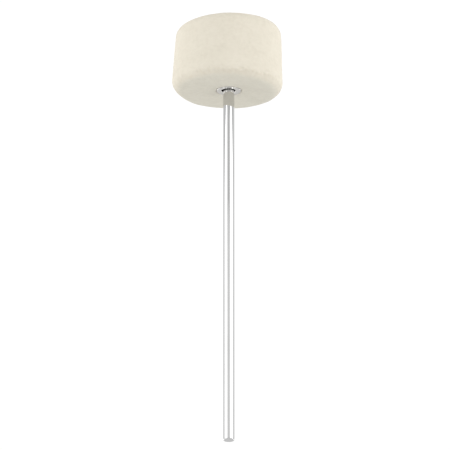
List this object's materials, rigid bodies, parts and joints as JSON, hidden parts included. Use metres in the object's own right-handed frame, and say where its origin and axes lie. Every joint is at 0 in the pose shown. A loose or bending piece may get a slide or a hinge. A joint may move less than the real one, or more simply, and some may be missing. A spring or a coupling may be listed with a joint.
{
  "type": "bass drum beater",
  "caption": "Kick-pedal beater: a plated round shaft for the pedal's clamp, with a thick tapered felt drum held on its upper end, which swings against a bass drum head.",
  "frame": {"origin": "on the shaft's axis, 30 mm above its lower end, at the middle of the stretch that a pedal's clamp grips", "axes": "+Z along the shaft, from the clamped end towards the felt head; +X and +Y across it, all alike on a round part"},
  "size_m": [0.0584, 0.0584, 0.2309],
  "materials": {
    "plated_steel": "polished",
    "zinc_steel": "satin",
    "felt": "matte"
  },
  "bodies": {
    "stick": {"shaft": "plated_steel", "flanged_sleeve": "plated_steel", "top_washer": "zinc_steel", "lock_washer": "zinc_steel", "top_nut": "zinc_steel"},
    "head": {"felt_head": "felt"}
  },
  "joints": [
    {"name": "head_turn", "type": "hinge", "parent": "stick", "child": "head", "pos_m": [0, 0, 0.1645], "axis": [0, 0, 1], "continuous": true}
  ]
}
